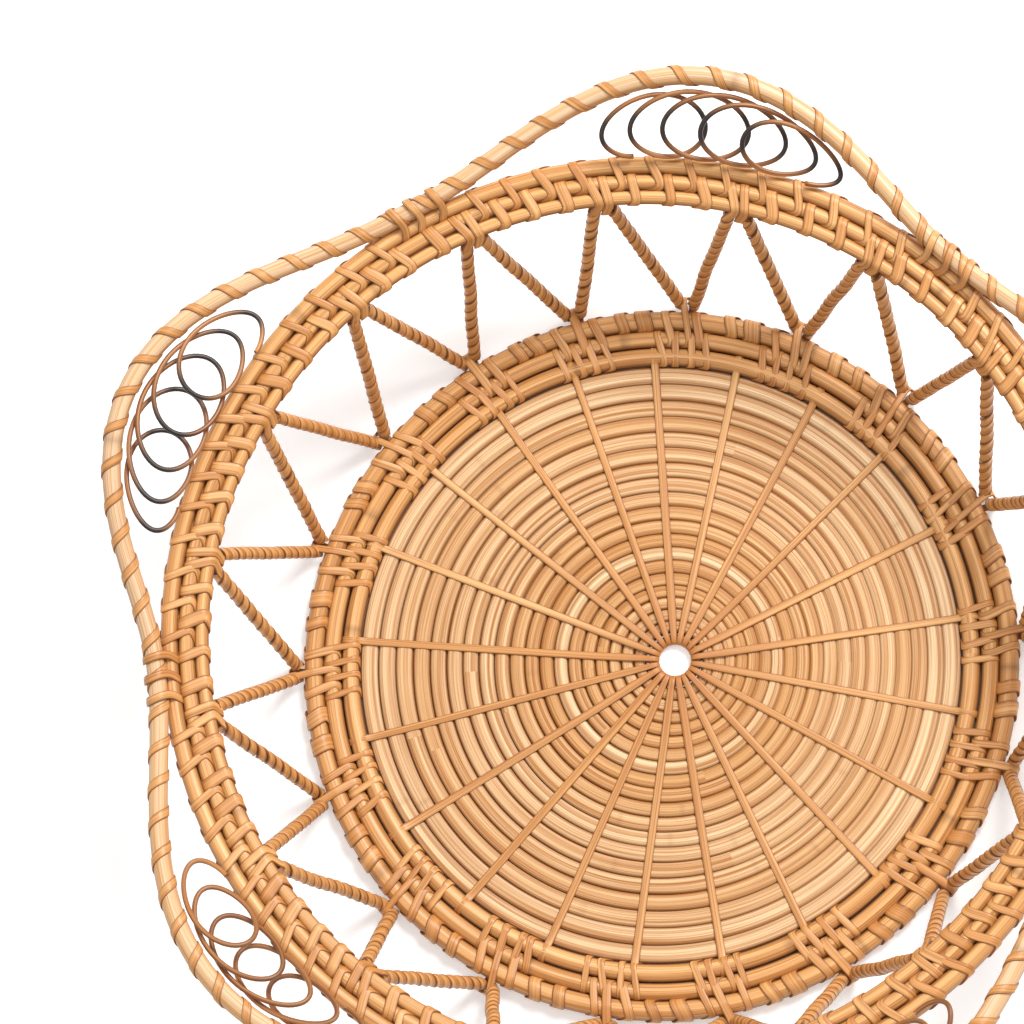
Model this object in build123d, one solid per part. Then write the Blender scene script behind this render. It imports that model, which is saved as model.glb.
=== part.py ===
from build123d import *
import math
import os

# A round rattan tray with an openwork side and a scalloped rail. Millimetres, +Z up.
# The origin is on the axis of the centre hole, on the surface that the tray stands on.
# The border is centred on the tray's own axis. The hub sits a little off that axis, and so do
# the rim and the rail, as they do in a tray wound by hand.

# --- Driving dimensions ---
HUB_OFFSET = 5.5  # the tray's axis lies this far from the hub, along -X
RIM_CENTRE = (-7.4, 2.3)  # where the rim and the rail are centred
CLEAR = 0.1  # between a strip and the cane that it holds
SKEIN = 0.6  # thickness of the flat binding strip
SKEIN_WIDTH = 2.5
STITCH_WIDTH = 2.4
BAND_WIDTH = 3.0
LOOP_CORNER_R = 1.2  # outer radius of a stitch where it turns round a cane

HOLE_R = 5.3
HUB_RING_R = 9.0
ROUND_COUNT = 19
ROUND_GAP = 0.35
ROUND_WIDTH_GROWTH = 0.105  # each round is this much wider than the one inside it
ROUND_EDGE_Z = 1.4  # height of a round's side above its flat underside
ROUND_CROWN_Z = 2.2

SPOKE_COUNT = 21
FIRST_SPOKE = 91.5  # bearing of the first spoke at the hub, in degrees
SPOKE_RAMP = 5.0  # length over which a spoke climbs from the rounds to the inner cane
SPOKE_START = 0.15  # gap between the hub ring and a spoke

BORDER_OUTER_R = 115.0  # outside of the binding
BORDER_CANES = {"outer": 5.6, "middle": 4.4, "inner": 4.2}  # diameters
BORDER_STITCH_STEP = 2.9  # degrees
BORDER_WRAP_SHARES = (0.4, 0.6)  # where the wide wraps fall from one foot to the next
SPOKE_ROOM = 1.6  # degrees kept between a spoke and the stitches beside it

APEX_COUNT = 18
FIRST_APEX = 32.3  # bearing of the first point of the zigzag on the rim
STRUT_CORE_R = 1.2
STRUT_R = 1.8
STRUT_FOOT = (117.1, 3.2)  # radius and height of a strut's lower end
STRUT_HEAD = (132.0, 60.4)
STRUT_FOOT_SPREAD = 0.95  # degrees each side of the zigzag's point
STRUT_HEAD_SPREAD = 1.15
WRAP_END = 0.5  # bare cane at each end of a strut

RIM_OUTER = (143.5, 66.0, 2.4)  # radius of the ring, height, radius of the cane
RIM_MIDDLE = (138.3, 65.2, 2.0)
RIM_INNER = (133.7, 64.4, 1.8)
RIM_STITCH_STEP = 2.22  # degrees from one stitch to the next, the two sets alternating
TIE_ROOM = 1.3  # degrees kept between a tie of the rail and an inner stitch
KNOT_ROOM = 1.7  # degrees kept between a tie of the rail and a knot
KNOT_WIDTH = 5.0

JOINTS = (48, 117, 186, 256, 332)  # bearings at which the rail is tied to the rim
PEAK_RADII = (168.2, 170.7, 165.5, 166.5, 167.0)  # of the scallop that follows each joint
PEAK_SHARES = (0.48, 0.54, 0.5, 0.5, 0.5)  # how far along its scallop each peak falls
RAIL_R = 2.9
RAIL_LOW = (147.2, 70.0)  # radius and height of the rail at a joint
RAIL_PEAK_Z = 82.0
RAIL_BUTT = 0.04  # degrees left open at each end of each length of rail
RAIL_POINTS = 12  # intervals along the curve of one length
RAIL_WRAPS_PER_PETAL = 18
TIE_STEP = 2.7  # degrees
TIE_SLACK = 0.8  # the rail rises this much between the middle tie and the outer ones
JOINT_ROOM = 9.0  # degrees at each side of a joint in which the rail is too near for stitches

CURL_MIDDLES = (78.7, 154.3, 222.5, 294, 370)  # bearings, one to a scallop
CURL_R = 0.8
CURL_TURNS = 5
CURL_HALF_WIDTH = 4.3  # degrees, at the ends
CURL_SWELL = 1.7  # degrees by which the middle turns are wider
CURL_ADVANCE = 4.3  # degrees from one turn to the next
CURL_DEPTH = 3.6  # the turns swing this far to each side of their sheet
CURL_FOOT = (145.0, 71.2)  # where the turns stand on the rim
CURL_LEAN = 0.7  # how much a turn follows the rail's slope, from 0 to 1
CURL_ROOM = 0.5  # kept between the turns and the rail's binding
CURL_POINTS = 24  # intervals along one turn

# --- Sizes that follow ---
LAYER = SKEIN + CLEAR
BASE_Z = LAYER  # the underside of every cane in the base
ROUND_TOP_Z = BASE_Z + ROUND_CROWN_Z
HUB_TOP_Z = ROUND_TOP_Z + LAYER
CANE_GAP = SKEIN + 3 * CLEAR
TRAY = Pos(-HUB_OFFSET, 0, 0)
RIM = Pos(*RIM_CENTRE, 0)

OUTER_R = BORDER_CANES["outer"] / 2
MIDDLE_R = BORDER_CANES["middle"] / 2
INNER_R = BORDER_CANES["inner"] / 2
OUTER_RING = BORDER_OUTER_R - LAYER - OUTER_R
MIDDLE_RING = OUTER_RING - OUTER_R - CANE_GAP - MIDDLE_R
SPOKE_END = MIDDLE_RING - MIDDLE_R - 2 * LAYER
INNER_RING = SPOKE_END - LAYER - INNER_R
ROUNDS_OUTER_R = INNER_RING - INNER_R - CANE_GAP


def polar(radius, bearing, height, centre):
    """A point at this radius, bearing and height from a centre."""
    turn = math.radians(bearing)
    return Vector(centre[0] + radius * math.cos(turn), centre[1] + radius * math.sin(turn), height)


def hand(bearing):
    """How far a hand-set bearing strays from even spacing, in degrees."""
    turn = math.radians(bearing - 50)
    return 2.0 * math.cos(turn) + 2.0 * math.cos(2 * turn)


def apex_bearings():
    even = [FIRST_APEX + k * 360 / APEX_COUNT for k in range(APEX_COUNT)]
    return [b + hand(b) for b in even]


def foot_bearings():
    """The zigzag's points on the base, midway between its points on the rim."""
    tops = apex_bearings()
    after = tops[1:] + [tops[0] + 360]
    return [(a + b) / 2 for a, b in zip(tops, after)]


def apart(bearing, others, least):
    """True if a bearing is at least this many degrees from all the others."""
    return all(abs((bearing - o + 180) % 360 - 180) >= least for o in others)


# --- The base ---
def hub_ring():
    """The bound eye that the spokes start from, with the centre hole."""
    ring = Pos(0, 0, HUB_TOP_Z / 2) * (
        Cylinder(HUB_RING_R, HUB_TOP_Z) - Cylinder(HOLE_R, HUB_TOP_Z)
    )
    return fillet(ring.edges().filter_by(GeomType.CIRCLE).group_by(Axis.Z)[-1], SKEIN)


def crowned_ring(inner_r, width):
    """A split cane bent into a ring: flat below, crowned above."""
    outer_r = inner_r + width
    side = BASE_Z + ROUND_EDGE_Z
    outline = Polyline((inner_r, side), (inner_r, BASE_Z), (outer_r, BASE_Z), (outer_r, side))
    crown = ThreePointArc((outer_r, side), ((inner_r + outer_r) / 2, ROUND_TOP_Z), (inner_r, side))
    return revolve(Plane.XZ * make_face(outline + crown), Axis.Z)


def base_rounds():
    """Concentric rounds that widen outwards, each centred a little nearer the tray's axis."""
    first_r = HUB_RING_R + ROUND_GAP + CLEAR
    room = ROUNDS_OUTER_R - first_r - (ROUND_COUNT - 1) * ROUND_GAP
    growth = ROUND_WIDTH_GROWTH * (ROUND_COUNT - 1) / 2
    first_width = room / ROUND_COUNT - growth
    inner_r = first_r
    rings = []
    for k in range(ROUND_COUNT):
        width = first_width + k * ROUND_WIDTH_GROWTH
        shift = -HUB_OFFSET * (k + 1) / ROUND_COUNT
        rings.append(Pos(shift, 0, 0) * crowned_ring(inner_r, width))
        inner_r += width + ROUND_GAP
    return rings


def spoke_ends():
    """For each spoke, its start beside the hub ring and its end outside the inner cane."""
    ends = []
    for k in range(SPOKE_COUNT):
        slot = FIRST_SPOKE - k * 360 / SPOKE_COUNT
        bearing = slot + hand(slot)
        turn = math.radians(bearing)
        middle = HUB_OFFSET * math.cos(turn)
        reach = -middle + math.sqrt(middle**2 + SPOKE_END**2 - HUB_OFFSET**2)
        start = Vector(math.cos(math.radians(slot)), math.sin(math.radians(slot)))
        end = Vector(math.cos(turn), math.sin(turn))
        ends.append((start * (HUB_RING_R + SPOKE_START), end * reach))
    return ends


def spoke(start, end):
    """A binding strip over the rounds and the inner cane, down its outside and back below."""
    length = (end - start).length
    over_cane = BASE_Z + 2 * INNER_R + CLEAR
    cane_start = length - SKEIN - 2 * INNER_R
    ramp_start = cane_start - SPOKE_RAMP
    low = ROUND_TOP_Z + CLEAR
    outline = Polyline(
        (0, low + SKEIN),
        (ramp_start, low + SKEIN),
        (cane_start, over_cane + SKEIN),
        (length, over_cane + SKEIN),
        (length, 0),
        (0, 0),
        (0, SKEIN),
        (length - SKEIN, SKEIN),
        (length - SKEIN, over_cane),
        (cane_start, over_cane),
        (ramp_start, low),
        (0, low),
        close=True,
    )
    strip = extrude(Plane.XZ * make_face(outline), SKEIN_WIDTH / 2, both=True)
    along = end - start
    bearing = math.degrees(math.atan2(along.Y, along.X))
    return Pos(start.X, start.Y, 0) * Rot(0, 0, bearing) * strip


def cane_ring(ring_r, height, cane_r):
    return Pos(0, 0, height) * Torus(ring_r, cane_r)


def strip_loop(inner_r, outer_r, low_z, high_z, width, bearing):
    """A closed strip round whatever lies between two radii and two heights."""
    length, height = outer_r - inner_r, high_z - low_z
    outside = RectangleRounded(length, height, LOOP_CORNER_R)
    inside = RectangleRounded(length - 2 * SKEIN, height - 2 * SKEIN, LOOP_CORNER_R - SKEIN)
    at = Pos((inner_r + outer_r) / 2, (low_z + high_z) / 2)
    loop = extrude(Plane.XZ * (at * (outside - inside)), width / 2, both=True)
    return Rot(0, 0, bearing) * loop


def border_stitches_outer():
    """At each of the zigzag's feet, strips round the outer and middle canes."""
    inner_r = MIDDLE_RING - MIDDLE_R - LAYER
    high = BASE_Z + 2 * OUTER_R + LAYER
    bearings = [foot + n * BORDER_STITCH_STEP for foot in foot_bearings() for n in (-1, 0, 1)]
    return [TRAY * strip_loop(inner_r, BORDER_OUTER_R, 0, high, STITCH_WIDTH, b) for b in bearings]


def border_stitches_inner(spokes):
    """Strips round the middle and inner canes, between the outer ones and clear of the spokes."""
    inner_r = INNER_RING - INNER_R - LAYER
    outer_r = MIDDLE_RING + MIDDLE_R + LAYER
    high = BASE_Z + 2 * MIDDLE_R + LAYER
    crossings = [math.degrees(math.atan2(end.Y, end.X + HUB_OFFSET)) for _, end in spokes]
    loops = []
    for foot in foot_bearings():
        for n in (-1.5, -0.5, 0.5, 1.5):
            bearing = foot + n * BORDER_STITCH_STEP
            if apart(bearing, crossings, SPOKE_ROOM):
                loop = strip_loop(inner_r, outer_r, 0, high, STITCH_WIDTH, bearing)
                loops.append(TRAY * loop)
    return loops


def border_wraps():
    """Wide strips round the outer cane alone, two between each pair of feet."""
    inner_r = OUTER_RING - OUTER_R - LAYER
    high = BASE_Z + 2 * OUTER_R + LAYER
    feet = foot_bearings()
    loops = []
    for this, after in zip(feet, feet[1:] + [feet[0] + 360]):
        for share in BORDER_WRAP_SHARES:
            bearing = this + share * (after - this)
            loop = strip_loop(inner_r, BORDER_OUTER_R, 0, high, BAND_WIDTH, bearing)
            loops.append(TRAY * loop)
    return loops


# --- The side ---
def strut_lines():
    """Each strut's lower and upper end: two from every foot, one to each apex beside it."""
    tops = apex_bearings()
    lines = []
    for k, foot in enumerate(foot_bearings()):
        before = tops[k]
        after = tops[k + 1] if k + 1 < APEX_COUNT else tops[0] + 360
        for side, top in ((-1, before), (1, after)):
            low_bearing = foot + side * STRUT_FOOT_SPREAD
            high_bearing = top - side * STRUT_HEAD_SPREAD
            low = polar(STRUT_FOOT[0], low_bearing, STRUT_FOOT[1], (-HUB_OFFSET, 0))
            high = polar(STRUT_HEAD[0], high_bearing, STRUT_HEAD[1], RIM_CENTRE)
            lines.append((low, high))
    return lines


def strut_cores():
    cores = []
    for low, high in strut_lines():
        length = (high - low).length
        core = Pos(0, 0, length / 2) * Cylinder(STRUT_CORE_R, length)
        cores.append(Plane(low, z_dir=high - low) * core)
    return cores


def strut_wraps():
    """The spiral binding of each strut, as a sleeve that stops short of the core's ends."""
    sleeves = []
    for low, high in strut_lines():
        length = (high - low).length
        size = length - 2 * WRAP_END
        sleeve = Cylinder(STRUT_R, size) - Cylinder(STRUT_CORE_R + CLEAR / 2, size)
        sleeves.append(Plane(low, z_dir=high - low) * Pos(0, 0, length / 2) * sleeve)
    return sleeves


# --- The rim ---
def petals():
    """For each scallop, the bearings of the joints at its ends, and its peak's radius and share."""
    return list(zip(JOINTS, JOINTS[1:] + (JOINTS[0] + 360,), PEAK_RADII, PEAK_SHARES))


def tie_bearings():
    return [joint + n * TIE_STEP for joint in JOINTS for n in (-1, 0, 1)]


def rim_stitch_bearings():
    """The outer and inner stitches, taking turns from each apex of the zigzag to the next.
    The outer ones leave room for the rail, and the inner ones for the width of the ties."""
    tops = apex_bearings()
    outer, inner = [], []
    for this, after in zip(tops, tops[1:] + [tops[0] + 360]):
        steps = 2 * round((after - this) / (2 * RIM_STITCH_STEP))
        for n in range(1, steps):
            bearing = this + n * (after - this) / steps
            (outer if n % 2 else inner).append(bearing)
    outer = [b for b in outer if apart(b, JOINTS, JOINT_ROOM)]
    return outer, [b for b in inner if apart(b, tie_bearings(), TIE_ROOM)]


def rim_loop(inner_cane, outer_cane, width, bearing):
    """A strip round two canes of the rim that lie side by side."""
    canes = (inner_cane, outer_cane)
    low = min(z - r for _, z, r in canes) - LAYER
    high = max(z + r for _, z, r in canes) + LAYER
    near = inner_cane[0] - inner_cane[2] - LAYER
    far = outer_cane[0] + outer_cane[2] + LAYER
    return RIM * strip_loop(near, far, low, high, width, bearing)


def rim_stitches_outer():
    return [rim_loop(RIM_MIDDLE, RIM_OUTER, SKEIN_WIDTH, b) for b in rim_stitch_bearings()[0]]


def rim_stitches_inner():
    return [rim_loop(RIM_INNER, RIM_MIDDLE, BAND_WIDTH, b) for b in rim_stitch_bearings()[1]]


def rim_knots():
    """Wide bindings over each point of the zigzag, clear of the ties of the rail."""
    clear = [b for b in apex_bearings() if apart(b, tie_bearings(), KNOT_ROOM)]
    return [rim_loop(RIM_INNER, RIM_MIDDLE, KNOT_WIDTH, b) for b in clear]


# --- The rail and its curls ---
def rail_point(petal, bearing):
    """The rail's centreline along one scallop: its radius and height at a bearing."""
    first, last, peak_r, peak_share = petal
    along = ((bearing - first) / (last - first)) ** (math.log(0.5) / math.log(peak_share))
    share = (1 - math.cos(2 * math.pi * along)) / 2
    radius = RAIL_LOW[0] + share * (peak_r - RAIL_LOW[0])
    return radius, RAIL_LOW[1] + share * (RAIL_PEAK_Z - RAIL_LOW[1])


def rail_paths():
    """One length of cane to a scallop. Their ends butt together under the ties."""
    paths = []
    for petal in petals():
        first, last = petal[0] + RAIL_BUTT, petal[1] - RAIL_BUTT
        points = []
        for k in range(RAIL_POINTS + 1):
            bearing = first + k * (last - first) / RAIL_POINTS
            radius, height = rail_point(petal, bearing)
            points.append(polar(radius, bearing, height, RIM_CENTRE))
        paths.append(Spline(*points))
    return paths


def rail_canes(paths):
    return [sweep(Plane(path @ 0, z_dir=path % 0) * Circle(RAIL_R), path) for path in paths]


def rail_wraps(paths):
    """Single turns of binding strip along the rail, leaving out those beside the joints."""
    bands = []
    for path in paths:
        for k in range(RAIL_WRAPS_PER_PETAL):
            share = (k + 0.5) / RAIL_WRAPS_PER_PETAL
            at = path @ share
            bearing = math.degrees(math.atan2(at.Y - RIM_CENTRE[1], at.X - RIM_CENTRE[0]))
            if apart(bearing, JOINTS, JOINT_ROOM):
                outside = Cylinder(RAIL_R + LAYER, SKEIN_WIDTH)
                band = outside - Cylinder(RAIL_R + CLEAR, SKEIN_WIDTH)
                bands.append(Plane(at, z_dir=path % share) * band)
    return bands


def rail_ties():
    """Three strips round the rail and the rim's outer cane at each joint."""
    near = RIM_OUTER[0] - RIM_OUTER[2] - LAYER
    far = RAIL_LOW[0] + RAIL_R + LAYER + TIE_SLACK
    low = RIM_OUTER[1] - RIM_OUTER[2] - LAYER
    high = RAIL_LOW[1] + RAIL_R + LAYER + TIE_SLACK
    return [RIM * strip_loop(near, far, low, high, STITCH_WIDTH, b) for b in tie_bearings()]


def curl_point(petal, middle, bearing, share, depth):
    """A point of the sheet from the rim (share 0) to the rail (share 1), moved off it by depth.
    The middle is the bearing of the turn that the point is on."""
    rail_r, rail_z = rail_point(petal, middle + CURL_LEAN * (bearing - middle))
    run, rise = rail_r - CURL_FOOT[0], rail_z - CURL_FOOT[1]
    span = math.hypot(run, rise)
    usable = span - RAIL_R - LAYER - CURL_R - CURL_ROOM
    along_r, along_z = run / span, rise / span
    radius = CURL_FOOT[0] + along_r * usable * share - along_z * depth
    height = CURL_FOOT[1] + along_z * usable * share + along_r * depth
    return polar(radius, bearing, height, RIM_CENTRE)


def curl(petal, middle):
    """Overlapping turns of thin cane between the rim and one scallop of the rail."""
    points = []
    for k in range(CURL_TURNS * CURL_POINTS + 1):
        turns = k / CURL_POINTS
        turn = 2 * math.pi * turns
        half_width = CURL_HALF_WIDTH + CURL_SWELL * math.sin(math.pi * turns / CURL_TURNS)
        turn_middle = middle + CURL_ADVANCE * (turns - CURL_TURNS / 2)
        bearing = turn_middle - half_width * math.sin(turn)
        share = (1 - math.cos(turn)) / 2
        depth = -CURL_DEPTH * math.sin(turn)
        points.append(curl_point(petal, turn_middle, bearing, share, depth))
    path = Spline(*points)
    start = Plane(path @ 0, z_dir=path % 0)
    return sweep(start * Circle(CURL_R), path)


def curl_coils():
    return [curl(petal, middle) for petal, middle in zip(petals(), CURL_MIDDLES)]


def save(name, shapes):
    """Writes one node, a single solid or a group of separate ones."""
    solids = [solid for shape in shapes for solid in shape.solids()]
    body = solids[0] if len(solids) == 1 else Compound(children=solids)
    export_step(body, f"parts/{name}.step")


def main():
    os.makedirs("parts", exist_ok=True)
    save("hub_ring", [hub_ring()])
    for k, ring in enumerate(base_rounds()):
        save(f"base_round_{k + 1:02d}", [ring])
    spokes = spoke_ends()
    for k, (start, end) in enumerate(spokes):
        save(f"spoke_{k + 1:02d}", [spoke(start, end)])
    save("border_cane_outer", [TRAY * cane_ring(OUTER_RING, BASE_Z + OUTER_R, OUTER_R)])
    save("border_cane_middle", [TRAY * cane_ring(MIDDLE_RING, BASE_Z + MIDDLE_R, MIDDLE_R)])
    save("border_cane_inner", [TRAY * cane_ring(INNER_RING, BASE_Z + INNER_R, INNER_R)])
    save("border_stitches_outer", border_stitches_outer())
    save("border_stitches_inner", border_stitches_inner(spokes))
    save("border_wraps", border_wraps())
    save("strut_cores", strut_cores())
    save("strut_wraps", strut_wraps())
    save("rim_cane_outer", [RIM * cane_ring(*RIM_OUTER)])
    save("rim_cane_middle", [RIM * cane_ring(*RIM_MIDDLE)])
    save("rim_cane_inner", [RIM * cane_ring(*RIM_INNER)])
    save("rim_stitches_outer", rim_stitches_outer())
    save("rim_stitches_inner", rim_stitches_inner())
    save("rim_knots", rim_knots())
    paths = rail_paths()
    save("rail_canes", rail_canes(paths))
    save("rail_wraps", rail_wraps(paths))
    save("rail_ties", rail_ties())
    save("curl_coils", curl_coils())


main()
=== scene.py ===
"""A round rattan tray with an openwork side, a scalloped rail and curled cane, built round the
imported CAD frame. Shapes are worked out in millimetres and turned into metres in one place."""

import math

import bpy
import mathutils
import numpy as np
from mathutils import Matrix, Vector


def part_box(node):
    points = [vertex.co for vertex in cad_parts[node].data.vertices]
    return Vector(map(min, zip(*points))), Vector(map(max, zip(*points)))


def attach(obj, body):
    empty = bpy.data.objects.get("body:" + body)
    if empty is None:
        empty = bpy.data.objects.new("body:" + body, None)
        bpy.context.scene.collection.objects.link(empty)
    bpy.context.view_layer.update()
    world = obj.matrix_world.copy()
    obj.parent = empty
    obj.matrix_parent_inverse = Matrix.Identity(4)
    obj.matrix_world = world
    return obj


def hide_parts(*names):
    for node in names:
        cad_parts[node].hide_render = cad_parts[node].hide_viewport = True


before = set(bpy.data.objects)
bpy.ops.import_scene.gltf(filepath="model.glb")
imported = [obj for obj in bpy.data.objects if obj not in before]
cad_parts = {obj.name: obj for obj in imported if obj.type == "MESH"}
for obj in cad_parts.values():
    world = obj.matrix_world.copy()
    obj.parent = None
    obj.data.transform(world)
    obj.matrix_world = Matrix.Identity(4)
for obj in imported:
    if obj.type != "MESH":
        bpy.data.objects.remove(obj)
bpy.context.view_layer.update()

MM = 0.001
TURN = 2 * math.pi

# Bearings, counts and radii that the CAD boxes don't give, in degrees and millimetres.
SPOKE_COUNT, FIRST_SPOKE = 21, 91.5
APEX_COUNT, FIRST_APEX = 18, 32.3
JOINTS = (48, 117, 186, 256, 332)
PEAK_RADII = (168.2, 170.7, 165.5, 166.5, 167.0)
PEAK_SHARES = (0.48, 0.54, 0.5, 0.5, 0.5)
RAIL_R, RAIL_JOINT_R = 2.9, 147.2
STITCH_STEP = 2.22
BORDER_STEP = 2.9
TIE_STEP = 2.7
CURL_TURNS, CURL_ADVANCE, CURL_HALF_WIDTH, CURL_SWELL, CURL_DEPTH = 5, 4.3, 4.3, 1.7, 3.6
CURL_MIDDLES = (78.7, 154.3, 222.5, 294, 370)
CURL_MIDDLE_SHADES = (0.97, 0.95, 0.15, 0.2, 0.6)  # how dark the painted shade in the middles of the turns is
CURL_FOOT, CURL_LEAN, CURL_ROOM = (145.0, 71.2), 0.7, 2.0
STRUT_FOOT_R, STRUT_HEAD_R = 117.1, 132.0
STRUT_FOOT_SPREAD, STRUT_HEAD_SPREAD = 0.95, 1.15

SKEIN, SKEIN_WIDTH = 0.6, 2.5
CLEAR = 0.1
BORDER_WRAP_SHARES = (0.4, 0.6)  # where the wide wraps fall from one foot to the next

# Sizes of the visible shapes alone, in millimetres.
ROUND_FOOT = 0.33  # how far a round's thin foot reaches past its side
ROUND_EXTRA = 0.2  # how much wider a round is than its core
ROUND_NODE_GAP, CANE_NODE_GAP, RAIL_NODE_GAP = 190, 170, 210  # between the cane's own nodes
SPOKE_THICK = 0.55
SPOKE_LIFT = 0.28  # between the layers in which the strips meet at the hub
SPOKE_Z = 0.62  # of a strip's run below the rounds
BURN_REACH = 16  # distance from the hub over which the strips' stain fades
HUB_CORE_R = 1.05
SHADE_SHEET_THICK = 0.4
SHADE_SHEET_SEGMENTS = 420
STRUT_CORE_R = 1.2
STRUT_WIND_R = 1.0  # where the inside of a strut's strips lies
RAIL_PITCH, RAIL_STRIP_WIDTH = 11.3, 2.8
TIE_LIFT = 0.35  # slack between the rail and its ties
RAIL_MEAN_R = 161  # taken for the whole rail when its nodes are spaced
CURL_R = 0.8
WIND_SEGMENTS = 18  # to a turn of a wound strip

rng = np.random.default_rng(7)


def box_mm(node):
    low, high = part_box(node)
    return np.array(low) / MM, np.array(high) / MM


def ring_of(node):
    """(radius of the ring, height of its centreline, radius of its cane) for a ring of round cane."""
    low, high = box_mm(node)
    cane = (high[2] - low[2]) / 2
    return (high[0] - low[0]) / 2 - cane, (high[2] + low[2]) / 2, cane


TRAY = sum(box_mm("border_cane_outer")) / 2
RIM = sum(box_mm("rim_cane_outer")) / 2
TRAY_X = TRAY[0]
RIM_OUTER, RIM_MIDDLE, RIM_INNER = (ring_of(f"rim_cane_{n}") for n in ("outer", "middle", "inner"))
BORDER_OUTER, BORDER_MIDDLE, BORDER_INNER = (
    ring_of(f"border_cane_{n}") for n in ("outer", "middle", "inner")
)
HOLE_R, HUB_R, HUB_TOP = 5.3, 9.0, box_mm("hub_ring")[1][2]
ROUND_GAP = 0.35
ROUND_NODES = [f"base_round_{k:02d}" for k in range(1, 20)]
ROUND_TOP = box_mm(ROUND_NODES[0])[1][2]


# --- Bearings ---
def hand(bearing):
    """How far a hand-set bearing strays from even spacing."""
    turn = math.radians(bearing - 50)
    return 2.0 * math.cos(turn) + 2.0 * math.cos(2 * turn)


def apex_bearings():
    even = [FIRST_APEX + k * 360 / APEX_COUNT for k in range(APEX_COUNT)]
    return [b + hand(b) for b in even]


def foot_bearings():
    tops = apex_bearings()
    return [(a + b) / 2 for a, b in zip(tops, tops[1:] + [tops[0] + 360])]


def petals():
    """For each scallop, the bearings of the joints at its ends, and its peak's radius and share."""
    return list(zip(JOINTS, JOINTS[1:] + (JOINTS[0] + 360,), PEAK_RADII, PEAK_SHARES))


def tie_bearings():
    return [joint + n * TIE_STEP for joint in JOINTS for n in (-1, 0, 1)]


def apart(bearing, others, least):
    return all(abs((bearing - o + 180) % 360 - 180) >= least for o in others)


def polar(radius, bearing, height, centre):
    """Points at these radii, bearings and heights about a centre."""
    turn = np.radians(bearing)
    x, y = centre[0] + radius * np.cos(turn), centre[1] + radius * np.sin(turn)
    return np.stack(np.broadcast_arrays(x, y, height), axis=-1).astype(float)


def drift(count, amount, waves=6, closed=True):
    """Slow random wandering along a strand, the same at both ends if it is closed."""
    along = np.linspace(0, TURN, count, endpoint=not closed)
    total = np.zeros(count)
    for k in range(1, waves + 1):
        total += rng.normal() * np.cos(k * along + rng.uniform(0, TURN)) / math.sqrt(k)
    return total * amount / math.sqrt(waves)


# --- Sweeping sections along paths ---
def unit(v):
    return v / np.maximum(np.linalg.norm(v, axis=-1, keepdims=True), 1e-12)


def tangents(path, closed):
    if closed:
        return unit(np.roll(path, -1, 0) - np.roll(path, 1, 0))
    return unit(np.gradient(path, axis=0))


def carried_normals(path, closed):
    """A normal carried along the path without twist, closed up evenly on a closed path."""
    along = tangents(path, closed)
    normals = np.empty_like(path)
    start = np.array([0, 0, 1.0]) if abs(along[0][2]) < 0.9 else np.array([1.0, 0, 0])
    normals[0] = unit(start - along[0] * (start @ along[0]))
    for k in range(1, len(path)):
        n = normals[k - 1] - along[k] * (normals[k - 1] @ along[k])
        normals[k] = n / np.linalg.norm(n)
    if closed:
        last = normals[-1] - along[0] * (normals[-1] @ along[0])
        side = np.cross(along[0], normals[0])
        gap = math.atan2(last @ side, last @ normals[0])
        turn = -gap * np.arange(len(path))[:, None] / len(path)
        normals = normals * np.cos(turn) + np.cross(along, normals) * np.sin(turn)
    return normals


def circle(radius, sides=12):
    a = np.linspace(0, TURN, sides, endpoint=False)
    return np.stack([np.cos(a), np.sin(a)], 1) * radius


def strip(width, thick=SKEIN):
    """A flat strip's section: level below, softly crowned above, with rounded edges."""
    half = width / 2
    right = [(0.9, 0), (1.0, 0.35), (0.97, 0.7), (0.82, 0.9), (0.45, 1.0)]
    left = [(-x, y) for x, y in reversed(right)]
    return np.array([(x * half, y * thick) for x, y in right + left])


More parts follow.
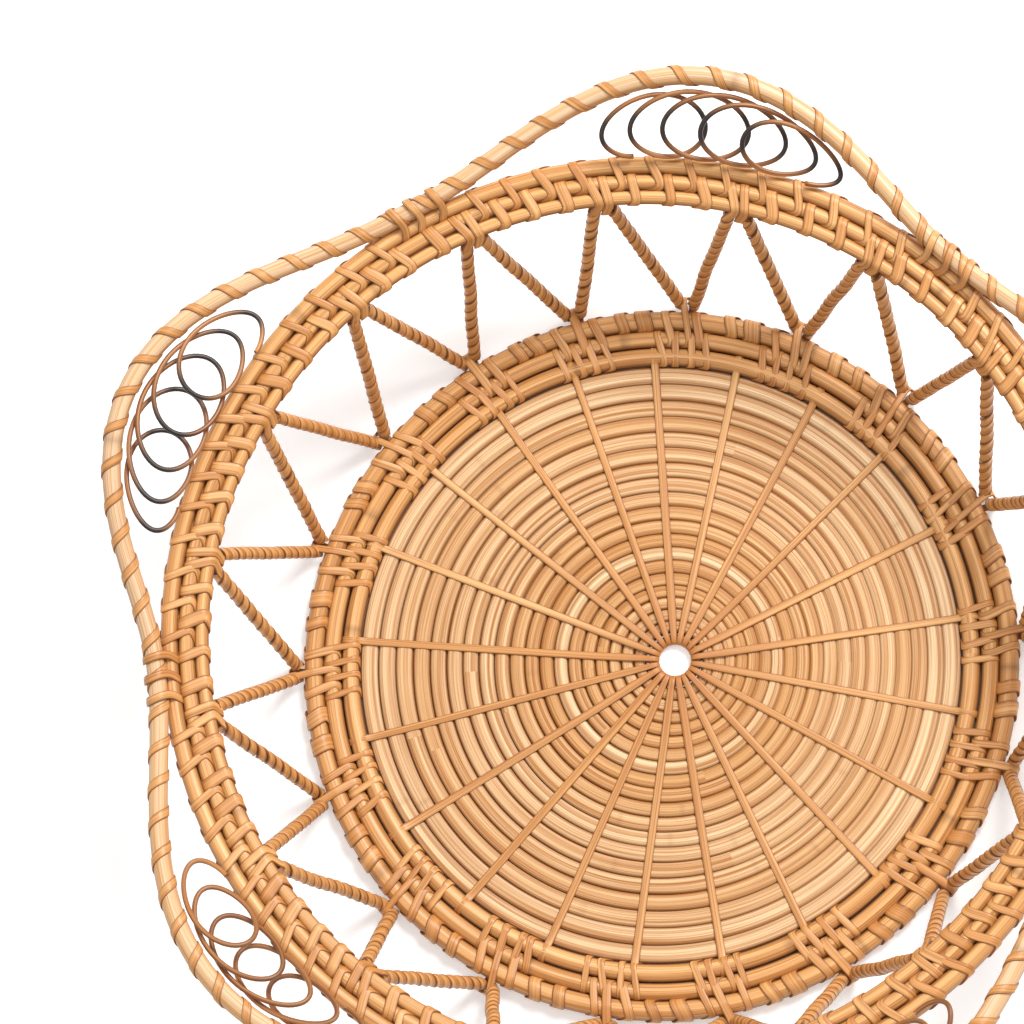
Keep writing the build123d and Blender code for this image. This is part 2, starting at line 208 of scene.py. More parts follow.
class Strands:
    """Swept strands gathered into one mesh, with their length, girth and tone kept for the shader."""

    def __init__(self):
        self.points, self.quads, self.caps, self.along, self.marks = [], [], [], [], []
        self.count = 0

    def add(self, path, section, normals=None, closed=False, tone=None, size=None, stain_and_shade=0.0):
        """One strand. size scales the section at each point; its darkness there holds real stains, such
        as at a cane's nodes, and painted shade, and its sides get painted shade.
        """
        path = np.asarray(path, float)
        if normals is None:
            normals = carried_normals(path, closed)
        along = tangents(path, closed)
        normals = unit(normals - along * (normals * along).sum(1, keepdims=True))
        sides = np.cross(along, normals)
        scale = np.ones(len(path)) if size is None else np.asarray(size, float)
        sec = section[None] * scale[:, None, None]
        rings = path[:, None] + sides[:, None] * sec[..., :1] + normals[:, None] * sec[..., 1:]
        n, m = rings.shape[:2]
        step = np.linalg.norm(np.diff(path, axis=0, append=path[:1]), axis=1)
        length = np.concatenate([[0], np.cumsum(step)])
        girth = np.linalg.norm(np.diff(section, axis=0, append=section[:1]), axis=1)
        around = np.concatenate([[0], np.cumsum(girth)])
        start = rng.uniform(0, 1000)
        spans = n if closed else n - 1
        i, j = np.meshgrid(np.arange(spans), np.arange(m), indexing="ij")
        i2, j2 = (i + 1) % n, (j + 1) % m
        quads = np.stack([i * m + j, i2 * m + j, i2 * m + j2, i * m + j2], -1).reshape(-1, 4)
        uv = np.stack(
            [
                np.stack([length[i] + start, around[j]], -1),
                np.stack([length[i + 1] + start, around[j]], -1),
                np.stack([length[i + 1] + start, around[j + 1]], -1),
                np.stack([length[i] + start, around[j + 1]], -1),
            ],
            2,
        ).reshape(-1, 2)
        # Painted shade: the section's sides are marked for darkening, as if shaded where neighbouring
        # canes meet.
        edge_shade = np.abs(section[:, 0]) / np.abs(section[:, 0]).max()
        tone = rng.uniform(0, 1) if tone is None else tone
        marks = np.empty((n, m, 3))
        marks[..., 0] = tone
        marks[..., 1] = edge_shade[None]
        marks[..., 2] = np.broadcast_to(np.asarray(stain_and_shade, float), n)[:, None]
        self.points.append(rings.reshape(-1, 3))
        self.quads.append(quads + self.count)
        self.along.append(uv)
        self.marks.append(marks.reshape(-1, 3))
        if not closed:
            self.caps.append(self.count + np.arange(m)[::-1])
            self.caps.append(self.count + (n - 1) * m + np.arange(m))
        self.count += n * m

    def piece(self, name, material, slot, *nodes):
        """The finished object, riding on the tray's one body in place of the named CAD nodes."""
        quads = np.concatenate(self.quads)
        loops = [quads.reshape(-1)] + list(self.caps)
        totals = np.concatenate([np.full(len(quads), 4), [len(c) for c in self.caps]]).astype(int)
        loops = np.concatenate(loops)
        mesh = bpy.data.meshes.new(name)
        points = np.concatenate(self.points)
        points[:, 2] = np.maximum(points[:, 2], 0.0)  # flat where it stands
        mesh.vertices.add(len(points))
        mesh.vertices.foreach_set("co", (points * MM).ravel())
        mesh.loops.add(len(loops))
        mesh.loops.foreach_set("vertex_index", loops)
        mesh.polygons.add(len(totals))
        mesh.polygons.foreach_set("loop_start", np.concatenate([[0], np.cumsum(totals)[:-1]]))
        mesh.polygons.foreach_set("loop_total", totals)
        mesh.polygons.foreach_set("use_smooth", np.ones(len(totals), bool))
        uv = mesh.uv_layers.new(name="cane")
        flat = np.zeros((len(loops), 2))
        flat[: len(quads) * 4] = np.concatenate(self.along) * MM
        uv.data.foreach_set("uv", flat.ravel())
        marks = mesh.color_attributes.new("marks", "FLOAT_COLOR", "POINT")
        rgba = np.ones((len(points), 4))
        rgba[:, :3] = np.concatenate(self.marks)
        marks.data.foreach_set("color", rgba.ravel())
        mesh.update(calc_edges=True)
        mesh.validate()
        obj = bpy.data.objects.new(name, mesh)
        bpy.context.scene.collection.objects.link(obj)
        mesh.materials.append(material)
        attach(obj, "root")
        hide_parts(*nodes)
        return obj


# --- Materials ---
TAN = (0.72, 0.39, 0.14)
HONEY = (0.54, 0.23, 0.06)
UMBER = (0.48, 0.19, 0.04)
BURNT = (0.42, 0.13, 0.02)
RUST = (0.22, 0.07, 0.016)
# Painted shade at the edges of the curls.
CURL_EDGE_SHADE = (0.10, 0.035, 0.012)
# Darkens real stains at nodes, and is also the painted shade of the dark strips between a band's canes
# and of the strut cores.
STAIN_AND_SHADE = (0.07, 0.025, 0.008)
# Painted shade in the middles of the curls' turns.
CURL_TURN_SHADE = (0.012, 0.009, 0.008)


def node_of(tree, kind, inputs=(), **settings):
    node = tree.nodes.new(kind)
    for key, value in settings.items():
        setattr(node, key, value)
    for key, value in dict(inputs).items():
        if isinstance(value, bpy.types.NodeSocket):
            tree.links.new(value, node.inputs[key])
        else:
            node.inputs[key].default_value = value
    return node


def ramp(tree, factor, stops):
    node = node_of(tree, "ShaderNodeValToRGB", {"Fac": factor})
    elements = node.color_ramp.elements
    while len(elements) < len(stops):
        elements.new(0.5)
    for element, (place, colour) in zip(elements, stops):
        element.position = place
        element.color = (*colour, 1.0)
    return node.outputs["Color"]


def mix(tree, factor, a, b, kind="MIX"):
    node = tree.nodes.new("ShaderNodeMix")
    node.data_type = "RGBA"
    node.blend_type = kind
    for socket, value in ((node.inputs[0], factor), (node.inputs[6], a), (node.inputs[7], b)):
        if isinstance(value, bpy.types.NodeSocket):
            tree.links.new(value, socket)
        else:
            socket.default_value = value if np.isscalar(value) else (*value, 1.0)
    return node.outputs[2]


def calc(tree, kind, a, b=0.0):
    return node_of(tree, "ShaderNodeMath", {0: a, 1: b}, operation=kind).outputs[0]


def fibre(tree, length_scale, width_scale, detail=3.0, offset=0.0):
    """Noise drawn out along the cane: its two scales are in cycles per metre."""
    place = node_of(tree, "ShaderNodeUVMap", uv_map="cane").outputs[0]
    sized = node_of(
        tree,
        "ShaderNodeMapping",
        {"Vector": place, "Scale": (length_scale, width_scale, 1), "Location": (offset,) * 3},
    ).outputs[0]
    inputs = {"Vector": sized, "Scale": 1.0, "Detail": detail, "Roughness": 0.6}
    return node_of(tree, "ShaderNodeTexNoise", inputs).outputs["Fac"]


# Cycles along and across the strand in a metre, and cycles of blotches in a metre.
FINE_FIBRE, BROAD_FIBRE = (14, 2600), (6, 700)
BLOTCHES = 55.0
EDGE_SHADE_FALL = 4.5  # how sharply the painted shade gathers at a strand's edges


def cane_material(name, pale, warm, streak, edge_shade, roughness, edge_shade_amount, stain_and_shade_colour):
    """Rattan: fibre streaks along the cane, blotches, toned strips, painted shade at the edges, and
    darkening for real stains at nodes and for painted shade.
    """
    material = bpy.data.materials.new(name)
    material.use_nodes = True
    tree = material.node_tree
    shader = tree.nodes["Principled BSDF"]
    marks = node_of(tree, "ShaderNodeAttribute", attribute_name="marks").outputs["Color"]
    split = node_of(tree, "ShaderNodeSeparateColor", {"Color": marks})
    # rim marks the painted shade at a strand's sides; the third mark darkens real stains at nodes and
    # painted shade.
    tone, rim, stain_and_shade = split.outputs
    fine = fibre(tree, *FINE_FIBRE)
    broad = fibre(tree, *BROAD_FIBRE, 2.0, 31.7)
    place = node_of(tree, "ShaderNodeTexCoord").outputs["Object"]
    blotch = node_of(
        tree, "ShaderNodeTexNoise", {"Vector": place, "Scale": BLOTCHES, "Detail": 3.0}
    ).outputs["Fac"]
    base = mix(tree, tone, pale, warm)
    streaked = mix(tree, ramp(tree, broad, ((0.38, (0, 0, 0)), (0.68, (1, 1, 1)))), base, streak)
    lines = ramp(tree, fine, ((0.36, (0.55, 0.38, 0.26)), (0.52, (1, 1, 1))))
    lined = mix(tree, 0.85, streaked, mix(tree, 1.0, streaked, lines, "MULTIPLY"))
    clouded = mix(tree, calc(tree, "MULTIPLY", blotch, 0.35), lined, streak)
    # Painted shade at the sides of each strand, standing in for the shade between neighbouring canes.
    edge_shade_weight = calc(tree, "MULTIPLY", calc(tree, "POWER", rim, EDGE_SHADE_FALL), edge_shade_amount)
    edge_shaded = mix(tree, edge_shade_weight, clouded, edge_shade)
    stained_and_shaded = mix(tree, stain_and_shade, edge_shaded, stain_and_shade_colour)
    tree.links.new(stained_and_shaded, shader.inputs["Base Color"])
    gloss = node_of(
        tree,
        "ShaderNodeMapRange",
        {"Value": fine, "To Min": roughness - 0.08, "To Max": roughness + 0.14},
    ).outputs[0]
    tree.links.new(gloss, shader.inputs["Roughness"])
    shader.inputs["Coat Weight"].default_value = 0.08
    shader.inputs["Coat Roughness"].default_value = 0.35
    height = calc(tree, "ADD", calc(tree, "MULTIPLY", fine, 0.7), calc(tree, "MULTIPLY", broad, 0.6))
    bump = node_of(
        tree, "ShaderNodeBump", {"Height": height, "Strength": 0.5, "Distance": 0.00012}
    ).outputs[0]
    tree.links.new(bump, shader.inputs["Normal"])
    return material


# In each material the fifth colour and the seventh value set the painted shade at a strand's edges.
split_cane = cane_material(
    "split_cane", (0.95, 0.71, 0.42), (0.68, 0.35, 0.11), UMBER, RUST, 0.55, 1.0, RUST
)
skein = cane_material(
    "skein", (0.90, 0.51, 0.20), (0.68, 0.30, 0.085), HONEY, RUST, 0.4, 1.0, STAIN_AND_SHADE
)
spoke_skein = cane_material(
    "spoke_skein", (0.90, 0.54, 0.23), (0.78, 0.40, 0.13), HONEY, RUST, 0.45, 1.0, BURNT
)
round_cane = cane_material(
    "round_cane", (0.92, 0.54, 0.22), (0.75, 0.36, 0.11), HONEY, RUST, 0.4, 0.85, STAIN_AND_SHADE
)
peeled_cane = cane_material(
    "peeled_cane", (0.82, 0.61, 0.42), (0.76, 0.52, 0.32), TAN, HONEY, 0.48, 0.6, STAIN_AND_SHADE
)
# Painted shade: the curls' cane has darker colours than the other cane, as if lying in shade; the real
# cane is the same brown.
dark_cane = cane_material(
    "dark_cane", (0.66, 0.31, 0.10), (0.50, 0.21, 0.06), RUST, CURL_EDGE_SHADE, 0.38, 0.4, CURL_TURN_SHADE
)


# --- The base ---
def round_section(width, crown):
    """A split cane's section, crowned above with shallow flutes, on a thin foot that meets the next."""
    half = width / 2
    foot = half + ROUND_FOOT
    x = np.linspace(-1, 1, 21)
    flutes = 0.05 * np.sin(x * 9 + rng.uniform(0, TURN)) + 0.04 * np.sin(x * 21 + rng.uniform(0, TURN))
    top = crown * (1 - 0.32 * np.abs(x) ** 4.5) + flutes * (1 - x**2)
    upper = np.stack([x[::-1] * half, top[::-1]], 1)
    lower = np.array([(-half, 0.7), (-foot, 0.6), (-foot, 0), (foot, 0), (foot, 0.6), (half, 0.7)])
    return np.concatenate([upper, lower])


def knots_along(length, spacing):
    """Where a cane's nodes fall, at uneven intervals."""
    places, at = [], rng.uniform(0.2, 0.8) * spacing
    while at < length:
        places.append(at)
        at += spacing * rng.uniform(0.6, 1.4)
    return places


def node_marks(length, count, spacing, width=1.2):
    """At each point of a strand, how close it is to one of the cane's nodes, from 0 to 1."""
    along = np.linspace(0, length, count)
    near = np.zeros(count)
    for place in knots_along(length, spacing):
        near = np.maximum(near, np.exp(-(((along - place) / width) ** 2)))
    return near


def base_round(node, inner_r, tone):
    low, high = box_mm(node)
    outer_r = (high[0] - low[0]) / 2
    centre = (high + low) / 2
    width = outer_r - inner_r
    radius = (outer_r + inner_r) / 2
    count = max(96, int(TURN * radius / 1.4))
    turn = np.linspace(0, TURN, count, endpoint=False) + rng.uniform(0, TURN)
    ring = radius + drift(count, 0.07)
    path = np.stack(
        [centre[0] + ring * np.cos(turn), centre[1] + ring * np.sin(turn), np.full(count, low[2])], 1
    )
    up = np.tile([0, 0, 1.0], (count, 1))
    near = node_marks(TURN * radius, count, ROUND_NODE_GAP, 0.8)
    size = 1 - np.abs(drift(count, 0.012)) + 0.02 * near
    strands = Strands()
    section = round_section(width + ROUND_EXTRA, high[2] - low[2])
    strands.add(path, section, up, True, tone=tone, size=size, stain_and_shade=0.22 * near)
    strands.piece(f"round_{node[-2:]}", split_cane, "split_cane", node)
    return outer_r


def hull_path(circles, margin, count=64):
    """The closed curve pulled tight round circles in a plane, and its normals. It stands off the
    circles by the margin."""
    angles = np.linspace(0, TURN, count, endpoint=False)
    ways = np.stack([np.cos(angles), np.sin(angles)], 1)
    centres = np.array([c[:2] for c in circles])
    radii = np.array([c[2] + margin for c in circles])
    reach = ways @ centres.T + radii
    best = reach.argmax(1)
    points = centres[best] + ways * radii[best][:, None]
    full = []
    for k in range(count):
        after = (k + 1) % count
        full.append((points[k], ways[k]))
        if best[after] != best[k]:
            for share in (0.25, 0.5, 0.75):
                full.append((points[k] * (1 - share) + points[after] * share, ways[k]))
    return np.array([p for p, _ in full]), np.array([w for _, w in full])


def lashing(strands, centre, circles, bearing, width, slant=0.0, thick=SKEIN, margin=CLEAR):
    """A strip pulled tight round canes that cross the radial plane at this bearing.
    slant is how far, in mm, its top runs round the tray from its outer to its inner end."""
    flat, ways = hull_path(circles, margin)
    r, z = flat[:, 0], flat[:, 1]
    middle_r, middle_z = (r.max() + r.min()) / 2, (z.max() + z.min()) / 2
    across = (middle_r - r) / (r.max() - r.min())
    above = np.tanh((z - middle_z) / (0.25 * (z.max() - z.min())))
    shift = slant * across * above
    turned = bearing - np.degrees(shift / r)
    path = polar(r, turned, z, centre)
    turn = np.radians(turned)
    normals = np.stack([ways[:, 0] * np.cos(turn), ways[:, 0] * np.sin(turn), ways[:, 1]], 1)
    strands.add(path, strip(width, thick), normals, True)


def base():
    outer_r = HUB_R + CLEAR
    for k, node in enumerate(ROUND_NODES):
        pale_edge = k >= len(ROUND_NODES) - 2
        tone = 0.05 if pale_edge else rng.uniform(0.05, 1.0)
        outer_r = base_round(node, outer_r + ROUND_GAP, tone)


def spoke_route(slot, bearing, lift):
    """The closed route of one radial strip: up through the hole, out over the base, back below.
    Gives its start, its direction, and distances and heights along it."""
    turn, start_turn = math.radians(bearing), math.radians(slot)
    leg_r = BORDER_MIDDLE[0] - BORDER_MIDDLE[2] - 1.0
    middle = -TRAY_X * math.cos(turn)
    reach = -middle + math.sqrt(middle**2 + leg_r**2 - TRAY_X**2)
    start = np.array([math.cos(start_turn), math.sin(start_turn)]) * (HOLE_R + 0.1)
    end = np.array([math.cos(turn), math.sin(turn)]) * reach
    length = float(np.linalg.norm(end - start))
    over = BORDER_INNER[1] + BORDER_INNER[2] + CLEAR
    top = ROUND_TOP + 0.03
    cane = length - BORDER_INNER[2] - 0.6
    corners = [
        (0.0, 1.8),
        (0.15, HUB_TOP - 0.9 + lift * 0.5),
        (1.4, HUB_TOP - 0.35 + lift),
        (4.5, top + 0.25 + lift),
        (10.0, top + 0.1 + lift * 0.6),
        (22.0, top),
        (length * 0.5, top),
        (length - 13, top),
        (cane - 2.6, top + 0.75),
        (cane - 1.2, over - 0.25),
        (cane, over),
        (cane + 1.4, over - 0.4),
        (length - 0.25, over - 1.6),
        (length, 2.4),
        (length - 0.2, 0.75),
        (length - 1.2, SPOKE_Z),
        (length - 5, SPOKE_Z),
        (length * 0.5, SPOKE_Z),
        (16.0, SPOKE_Z),
        (1.5, SPOKE_Z),
        (0.25, 0.8),
    ]
    return start, (end - start) / length, np.array(corners)


def smooth_closed(corners, per_span=6):
    """A closed curve through the corners, whose slope at each is the mean of those beside it."""
    p0, p1, p2, p3 = (np.roll(corners, s, 0) for s in (1, 0, -1, -2))
    d1 = np.linalg.norm(p2 - p1, axis=1)[:, None]
    m1 = unit(unit(p1 - p0) + unit(p2 - p1)) * d1
    m2 = unit(unit(p2 - p1) + unit(p3 - p2)) * d1
    out = []
    for t in np.linspace(0, 1, per_span, endpoint=False):
        a, b = 2 * t**3 - 3 * t**2 + 1, t**3 - 2 * t**2 + t
        out.append(a * p1 + b * m1 + (1 - a) * p2 + (t**3 - t**2) * m2)
    return np.stack(out, 1).reshape(-1, corners.shape[1])


def spokes():
    for k in range(SPOKE_COUNT):
        slot = FIRST_SPOKE - k * 360 / SPOKE_COUNT
        bearing = slot + hand(slot)
        start, way, corners = spoke_route(slot, bearing, SPOKE_LIFT * (k % 3))
        flat = smooth_closed(corners)
        bow = drift(len(flat), 0.12) * np.clip(flat[:, 0] / 20, 0, 1)
        side = np.array([-way[1], way[0]])
        ground = start + flat[:, :1] * way + bow[:, None] * side
        path = np.column_stack([ground, flat[:, 1]])
        width = SKEIN_WIDTH * rng.uniform(0.94, 1.08)
        pinch = 0.62 + 0.38 * np.clip((flat[:, 0] + 2) / 12, 0, 1)
        strands = Strands()
        burnt = 0.6 * np.exp(-np.clip(flat[:, 0], 0, None) / BURN_REACH) + 0.08
        section = strip(width, SPOKE_THICK)
        strands.add(path, section, outward(flat, way), True, size=pinch, stain_and_shade=burnt)
        strands.piece(f"radial_strip_{k + 1:02d}", spoke_skein, "skein", f"spoke_{k + 1:02d}")


def outward(flat, way):
    """Normals that point out of a closed loop standing in a vertical plane."""
    along = np.roll(flat, -1, 0) - np.roll(flat, 1, 0)
    normal = unit(np.stack([-along[:, 1], along[:, 0]], 1))
    centre = np.array([flat[:, 0].mean(), 2.0])
    if ((flat - centre) * normal).sum() < 0:
        normal = -normal
    return np.column_stack([normal[:, :1] * way, normal[:, 1]])


def hub():
    """The small ring of cane that the strips turn over at the centre hole."""
    count = 96
    turn = np.linspace(0, TURN, count, endpoint=False)
    radius = (HOLE_R + HUB_R) / 2 + 0.2
    path = np.stack([radius * np.cos(turn), radius * np.sin(turn), np.full(count, 1.75)], 1)
    strands = Strands()
    strands.add(path, circle(HUB_CORE_R, 14), None, True, tone=0.9)
    strands.piece("hub_core", round_cane, "skein", "hub_ring")


def cane_ring(name, centre, ring, node, tone, fuller, wander=0.12):
    """One of a band's canes, a little fuller than its core so that it lies against the next."""
    radius, height, cane = ring
    count = int(TURN * radius / 1.6)
    bearing = np.linspace(0, 360, count, endpoint=False)
    near = node_marks(TURN * radius, count, CANE_NODE_GAP)
    path = polar(radius + drift(count, wander), bearing, height + drift(count, wander / 2), centre)
    size = 1 + drift(count, 0.012) + 0.035 * near
    strands = Strands()
    strands.add(path, circle(cane + fuller, 20), None, True, tone=tone, size=size, stain_and_shade=0.45 * near)
    strands.piece(name, round_cane, "round_cane", node)


def shade_sheets():
    """Flat strips that lie between the canes of a band and close the slits between them, darkened as
    painted shade for the gaps.
    """
    strands = Strands()
    rounds_r = BORDER_INNER[0] - BORDER_INNER[2] - 1.4
    for inner_r, outer_r, height, centre in (
        (rounds_r, BORDER_MIDDLE[0] - 0.5, 0.95, TRAY),
        (BORDER_MIDDLE[0] - 0.5, BORDER_OUTER[0], 1.15, TRAY),
        (RIM_INNER[0], RIM_OUTER[0], RIM_MIDDLE[1] - 0.5, RIM),
    ):
        bearing = np.linspace(0, 360, SHADE_SHEET_SEGMENTS, endpoint=False)
        path = polar((inner_r + outer_r) / 2, bearing, height, centre)
        up = np.tile([0, 0, 1.0], (SHADE_SHEET_SEGMENTS, 1))
        section = strip(outer_r - inner_r, SHADE_SHEET_THICK)
        # Painted shade: the strips are darkened to stand for the shade in the gaps.
        strands.add(path, section, up, True, tone=1.0, stain_and_shade=0.75)
    strands.piece("shade_sheets", skein, "round_cane", "border_cane_middle", "rim_cane_middle")


def border():
    cane_ring("border_outer", TRAY, BORDER_OUTER, "border_cane_outer", 0.35, 0.3)
    cane_ring("border_middle", TRAY, BORDER_MIDDLE, "border_cane_middle", 0.2, 0.55)
    snug = (BORDER_INNER[0] + 0.45, BORDER_INNER[1], BORDER_INNER[2])
    cane_ring("border_inner", TRAY, snug, "border_cane_inner", 0.1, 0.7)
    shade_sheets()
    feet = foot_bearings()
    outer, inner, wraps = Strands(), Strands(), Strands()
    for foot in feet:
        for n in (-1, 0, 1):
            circles = [BORDER_OUTER, BORDER_MIDDLE]
            if n == 0:
                circles.append((STRUT_FOOT_R, 3.6, 1.9))
            bearing = foot + n * BORDER_STEP + rng.normal() * 0.25
            lashing(outer, TRAY, circles, bearing, rng.uniform(2.2, 3.1), rng.uniform(1.5, 5.0))
        for n in (-1.5, -0.5, 0.5, 1.5):
            bearing = foot + n * BORDER_STEP + rng.normal() * 0.25
            canes = [BORDER_MIDDLE, BORDER_INNER]
            lashing(inner, TRAY, canes, bearing, rng.uniform(2.1, 2.8), rng.uniform(0.5, 3.5))
    for this, after in zip(feet, feet[1:] + [feet[0] + 360]):
        for share in BORDER_WRAP_SHARES:
            bearing = this + share * (after - this) + rng.normal() * 0.3
            slant = rng.uniform(1.5, 3.5)
            lashing(wraps, TRAY, [BORDER_OUTER], bearing, rng.uniform(3.4, 5.6), slant, margin=0.3)
    outer.piece("border_lacing_outer", skein, "skein", "border_stitches_outer")
    inner.piece("border_lacing_inner", skein, "skein", "border_stitches_inner")
    wraps.piece("border_bands", skein, "skein", "border_wraps")


# --- The side ---
def strut_ends():
    low, high = box_mm("strut_cores")
    foot_z, head_z = low[2] + 0.9, high[2] - 0.2
    tops = apex_bearings()
    for k, foot in enumerate(foot_bearings()):
        before = tops[k]
        after = tops[k + 1] if k + 1 < APEX_COUNT else tops[0] + 360
        for side, top in ((-1, before), (1, after)):
            yield (
                polar(STRUT_FOOT_R, foot + side * STRUT_FOOT_SPREAD, foot_z, TRAY),
                polar(STRUT_HEAD_R, top - side * STRUT_HEAD_SPREAD, head_z, RIM),
            )


def struts():
    cores, wraps = Strands(), Strands()
    for low, high in strut_ends():
        count = 40
        share = np.linspace(0, 1, count)[:, None]
        bend = np.stack([drift(count, 0.18, 2, False) for _ in range(3)], 1)
        bend *= np.sin(share * math.pi)
        path = low * (1 - share) + high * share + bend
        # The core is darkened a little: painted shade for the gaps between its wound strips.
        cores.add(path, circle(STRUT_CORE_R, 10), tone=rng.uniform(0.2, 0.8), stain_and_shade=0.1)
        pitch = rng.uniform(7.5, 10.0)
        phase = rng.uniform(0, TURN)
        for start in (0, math.pi):
            width = rng.uniform(3.3, 4.0)
            tone = rng.uniform(0.0, 0.4)
            wind(wraps, path, STRUT_WIND_R, pitch, width, 0.85, tone, phase + start, 0.1)
    cores.piece("strut_canes", round_cane, "round_cane", "strut_cores")
    wraps.piece("strut_spirals", skein, "skein", "strut_wraps")


def wind(strands, path, radius, pitch, width, thick, tone=None, phase=None, uneven=0.12):
    """A strip wound in a spiral round a strand."""
    step = np.linalg.norm(np.diff(path, axis=0), axis=1)
    along = np.concatenate([[0], np.cumsum(step)])
    turns = along[-1] / pitch
    count = int(turns * WIND_SEGMENTS)
    at = np.linspace(0, along[-1], count)
    base = np.stack([np.interp(at, along, path[:, k]) for k in range(3)], 1)
    normals = carried_normals(base, False)
    sides = np.cross(tangents(base, False), normals)
    phase = rng.uniform(0, TURN) if phase is None else phase
    angle = phase + TURN * at / pitch + drift(count, uneven * 4, 5, False)
    out = normals * np.cos(angle)[:, None] + sides * np.sin(angle)[:, None]
    strands.add(base + out * radius, strip(width, thick), out, tone=tone)


# --- The rim ---
def rim_steps():
    tops = apex_bearings()
    outer, inner = [], []
    for this, after in zip(tops, tops[1:] + [tops[0] + 360]):
        steps = 2 * round((after - this) / (2 * STITCH_STEP))
        for n in range(1, steps):
            (outer if n % 2 else inner).append(this + n * (after - this) / steps)
    return outer, inner


def rim():
    cane_ring("rim_outer", RIM, RIM_OUTER, "rim_cane_outer", 0.25, 0.3)
    cane_ring("rim_middle", RIM, RIM_MIDDLE, "rim_cane_middle", 0.3, 0.45)
    cane_ring("rim_inner", RIM, RIM_INNER, "rim_cane_inner", 0.3, 0.4)
    outer, inner, knots = Strands(), Strands(), Strands()
    for bearing in rim_steps()[0]:
        if apart(bearing, tie_bearings(), 1.15):
            jitter = rng.normal() * 0.22
            canes = [RIM_OUTER, RIM_MIDDLE]
            lashing(outer, RIM, canes, bearing + jitter, rng.uniform(2.3, 3.0), rng.uniform(3.8, 6.2))
    for bearing in rim_steps()[1]:
        jitter = rng.normal() * 0.22
        canes = [RIM_MIDDLE, RIM_INNER]
        lashing(inner, RIM, canes, bearing + jitter, rng.uniform(3.0, 4.4), rng.uniform(2.5, 4.5), 0.75)
    for bearing in apex_bearings():
        circles = [RIM_MIDDLE, RIM_INNER, (STRUT_HEAD_R + 0.4, 60.2, 1.9)]
        for n in (-0.75, 0.75):
            lashing(knots, RIM, circles, bearing + n, 3.0, 3.4 + 1.2 * n)
    outer.piece("rim_lacing_outer", skein, "skein", "rim_stitches_outer")
    inner.piece("rim_lacing_inner", skein, "skein", "rim_stitches_inner")
    knots.piece("rim_apex_knots", skein, "skein", "rim_knots")


# --- The rail and its curls ---
rail_low, rail_high = box_mm("rail_canes")
RAIL_Z = (rail_low[2] + RAIL_R, rail_high[2] - RAIL_R)


def rail_point(petal, bearing):
    """The rail's centreline along one scallop: its radius and height at a bearing."""
    first, last, peak_r, peak_share = petal
    along = ((bearing - first) / (last - first)) ** (math.log(0.5) / math.log(peak_share))
    share = (1 - np.cos(TURN * along)) / 2
    radius = RAIL_JOINT_R + share * (peak_r - RAIL_JOINT_R)
    return radius, RAIL_Z[0] + share * (RAIL_Z[1] - RAIL_Z[0])


def rail_line(per_petal):
    """The whole rail's bearings, radii and heights, scallop after scallop."""
    parts = []
    for petal in petals():
        bearing = np.linspace(petal[0], petal[1], per_petal, endpoint=False)
        radius, height = rail_point(petal, bearing)
        parts.append(np.stack([radius, bearing, height]))
    return np.concatenate(parts, axis=1)


def rail():
    radius, bearing, height = rail_line(150)
    count = len(radius)
    path = polar(radius + drift(count, 0.2), bearing, height + drift(count, 0.12), RIM)
    near = node_marks(TURN * RAIL_MEAN_R, count, RAIL_NODE_GAP, 1.5)
    strands = Strands()
    size = 1 + 0.02 * near + drift(count, 0.01)
    strands.add(path, circle(RAIL_R, 20), None, True, tone=0.3, size=size, stain_and_shade=0.35 * near)
    strands.piece("scalloped_rail", peeled_cane, "peeled_cane", "rail_canes")
    wraps = Strands()
    whole = np.vstack([path, path[:1]])
    sunk_r = RAIL_R - 0.08
    wind(wraps, whole, sunk_r, RAIL_PITCH, RAIL_STRIP_WIDTH, 0.5, tone=0.5, uneven=0.06)
    wraps.piece("rail_spiral", skein, "skein", "rail_wraps")
    ties = Strands()
    for bearing in tie_bearings():
        circles = [(RAIL_JOINT_R, RAIL_Z[0], RAIL_R + TIE_LIFT), RIM_OUTER]
        lashing(ties, RIM, circles, bearing + rng.normal() * 0.2, 2.5, rng.uniform(2.5, 4.5))
    ties.piece("rail_lashings", skein, "skein", "rail_ties")


def curl_path(petal, middle, count):
    """Overlapping turns between the rim and one scallop, and how far up each point stands."""
    turn = np.linspace(0, CURL_TURNS * TURN, count)
    turns = turn / TURN
    turn_middle = middle + CURL_ADVANCE * (turns - CURL_TURNS / 2)
    half_width = CURL_HALF_WIDTH + CURL_SWELL * np.sin(math.pi * turns / CURL_TURNS)
    bearing = turn_middle - half_width * np.sin(turn)
    share = (1 - np.cos(turn)) / 2
    depth = -CURL_DEPTH * np.sin(turn)
    rail_r, rail_z = rail_point(petal, turn_middle + CURL_LEAN * (bearing - turn_middle))
    run, rise = rail_r - CURL_FOOT[0], rail_z - CURL_FOOT[1]
    span = np.hypot(run, rise)
    usable = span - RAIL_R - CURL_ROOM
    along_r, along_z = run / span, rise / span
    radius = CURL_FOOT[0] + along_r * usable * share - along_z * depth
    height = CURL_FOOT[1] + along_z * usable * share + along_r * depth
    return polar(radius, bearing, height, RIM), share


def curls():
    strands = Strands()
    for petal, middle, depth in zip(petals(), CURL_MIDDLES, CURL_MIDDLE_SHADES):
        path, share = curl_path(petal, middle, CURL_TURNS * 56)
        # Painted shade: the middles of the turns are darkened, as if in shade.
        dark = np.clip(1.6 - np.abs(share - 0.5) * 3.4, 0, 1)
        strands.add(path, circle(CURL_R, 10), tone=0.4, stain_and_shade=dark * depth)
    strands.piece("scallop_curls", dark_cane, "dark_cane", "curl_coils")


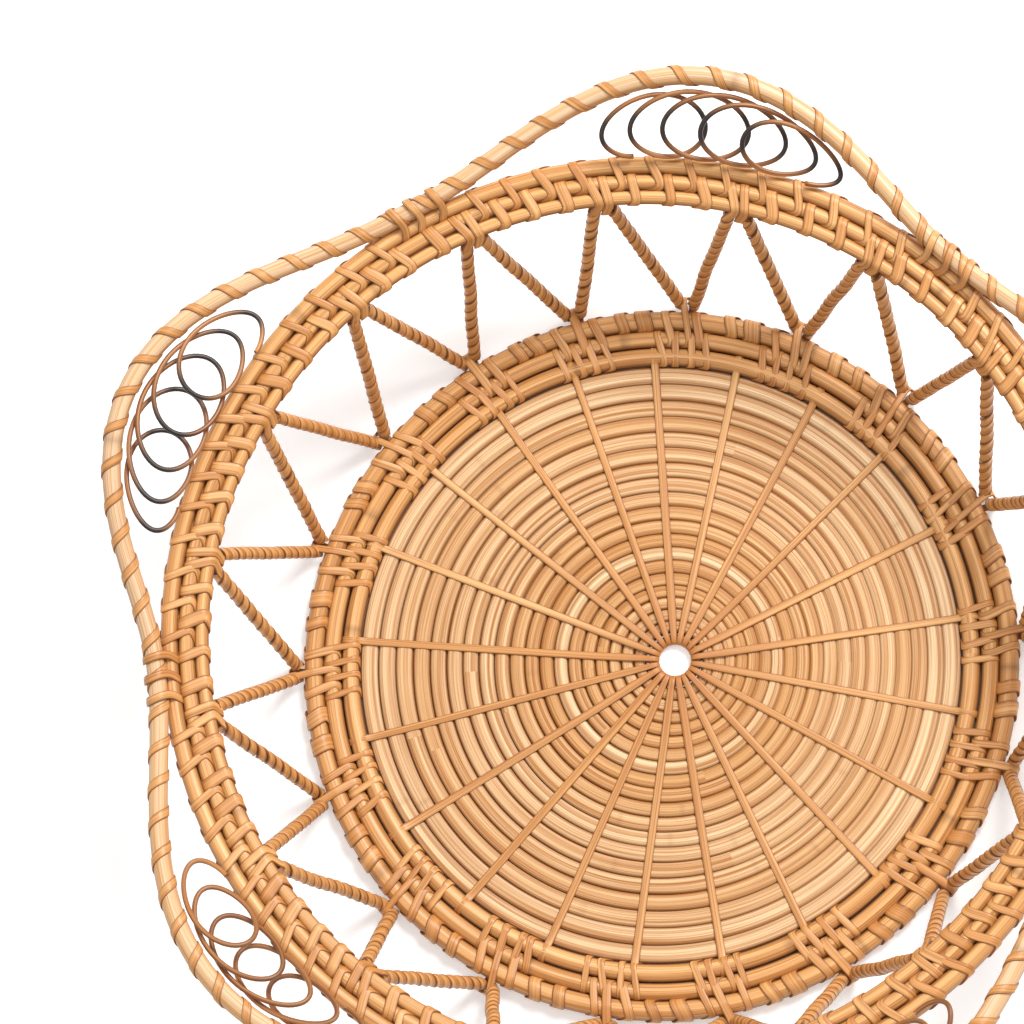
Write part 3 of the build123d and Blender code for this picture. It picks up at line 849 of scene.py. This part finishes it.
# --- The studio ---
def studio():
    bpy.ops.mesh.primitive_plane_add(size=8, location=(0, 0, 0))
    floor = bpy.context.object
    floor.name = "floor"
    material = bpy.data.materials.new("pale_floor")
    material.use_nodes = True
    shader = material.node_tree.nodes["Principled BSDF"]
    shader.inputs["Base Color"].default_value = (0.8, 0.8, 0.8, 1)
    shader.inputs["Roughness"].default_value = 0.8
    shader.inputs["Emission Color"].default_value = (1, 1, 1, 1)
    shader.inputs["Emission Strength"].default_value = 0.35
    floor.data.materials.append(material)
    # Each light's place and width are in metres and its power in watts.
    for name, place, size, power in (
        ("key", (0.55, 0.75, 1.15), 0.6, 23),
        ("fill", (-0.9, -0.2, 1.4), 1.4, 3),
        ("top", (0.0, 0.0, 1.9), 2.0, 8.5),
    ):
        light = bpy.data.lights.new(name, "AREA")
        light.size = size
        light.energy = power
        lamp = bpy.data.objects.new(name, light)
        bpy.context.scene.collection.objects.link(lamp)
        lamp.location = place
        aim = -np.array(place)
        lamp.rotation_mode = "QUATERNION"
        lamp.rotation_quaternion = mathutils.Vector(aim).to_track_quat("-Z", "Y")
    world = bpy.data.worlds.new("studio")
    bpy.context.scene.world = world
    world.use_nodes = True
    world.node_tree.nodes["Background"].inputs["Color"].default_value = (1, 1, 1, 1)
    world.node_tree.nodes["Background"].inputs["Strength"].default_value = 0.42


def camera():
    """Seen from above and a little from the front right, with +Y up the picture."""
    tilt, bearing = math.radians(13.3), math.radians(-57.3)
    distance, lens = 1.1917, 128.9
    target = mathutils.Vector((TRAY_X * MM - 0.0474, 0.0501, 0.0))
    back = mathutils.Vector(
        (math.sin(tilt) * math.cos(bearing), math.sin(tilt) * math.sin(bearing), math.cos(tilt))
    )
    right = mathutils.Vector((0, 1, 0)).cross(back).normalized()
    up = back.cross(right)
    data = bpy.data.cameras.new("camera")
    data.lens = lens
    data.sensor_width = 36
    data.clip_start, data.clip_end = 0.05, 20
    eye = bpy.data.objects.new("camera", data)
    bpy.context.scene.collection.objects.link(eye)
    eye.matrix_world = mathutils.Matrix(
        (
            (right.x, up.x, back.x, 0),
            (right.y, up.y, back.y, 0),
            (right.z, up.z, back.z, 0),
            (0, 0, 0, 1),
        )
    )
    eye.location = target + back * distance
    bpy.context.scene.camera = eye


base()
spokes()
hub()
border()
struts()
rim()
rail()
curls()
studio()
camera()
bpy.context.scene.view_settings.view_transform = "Standard"
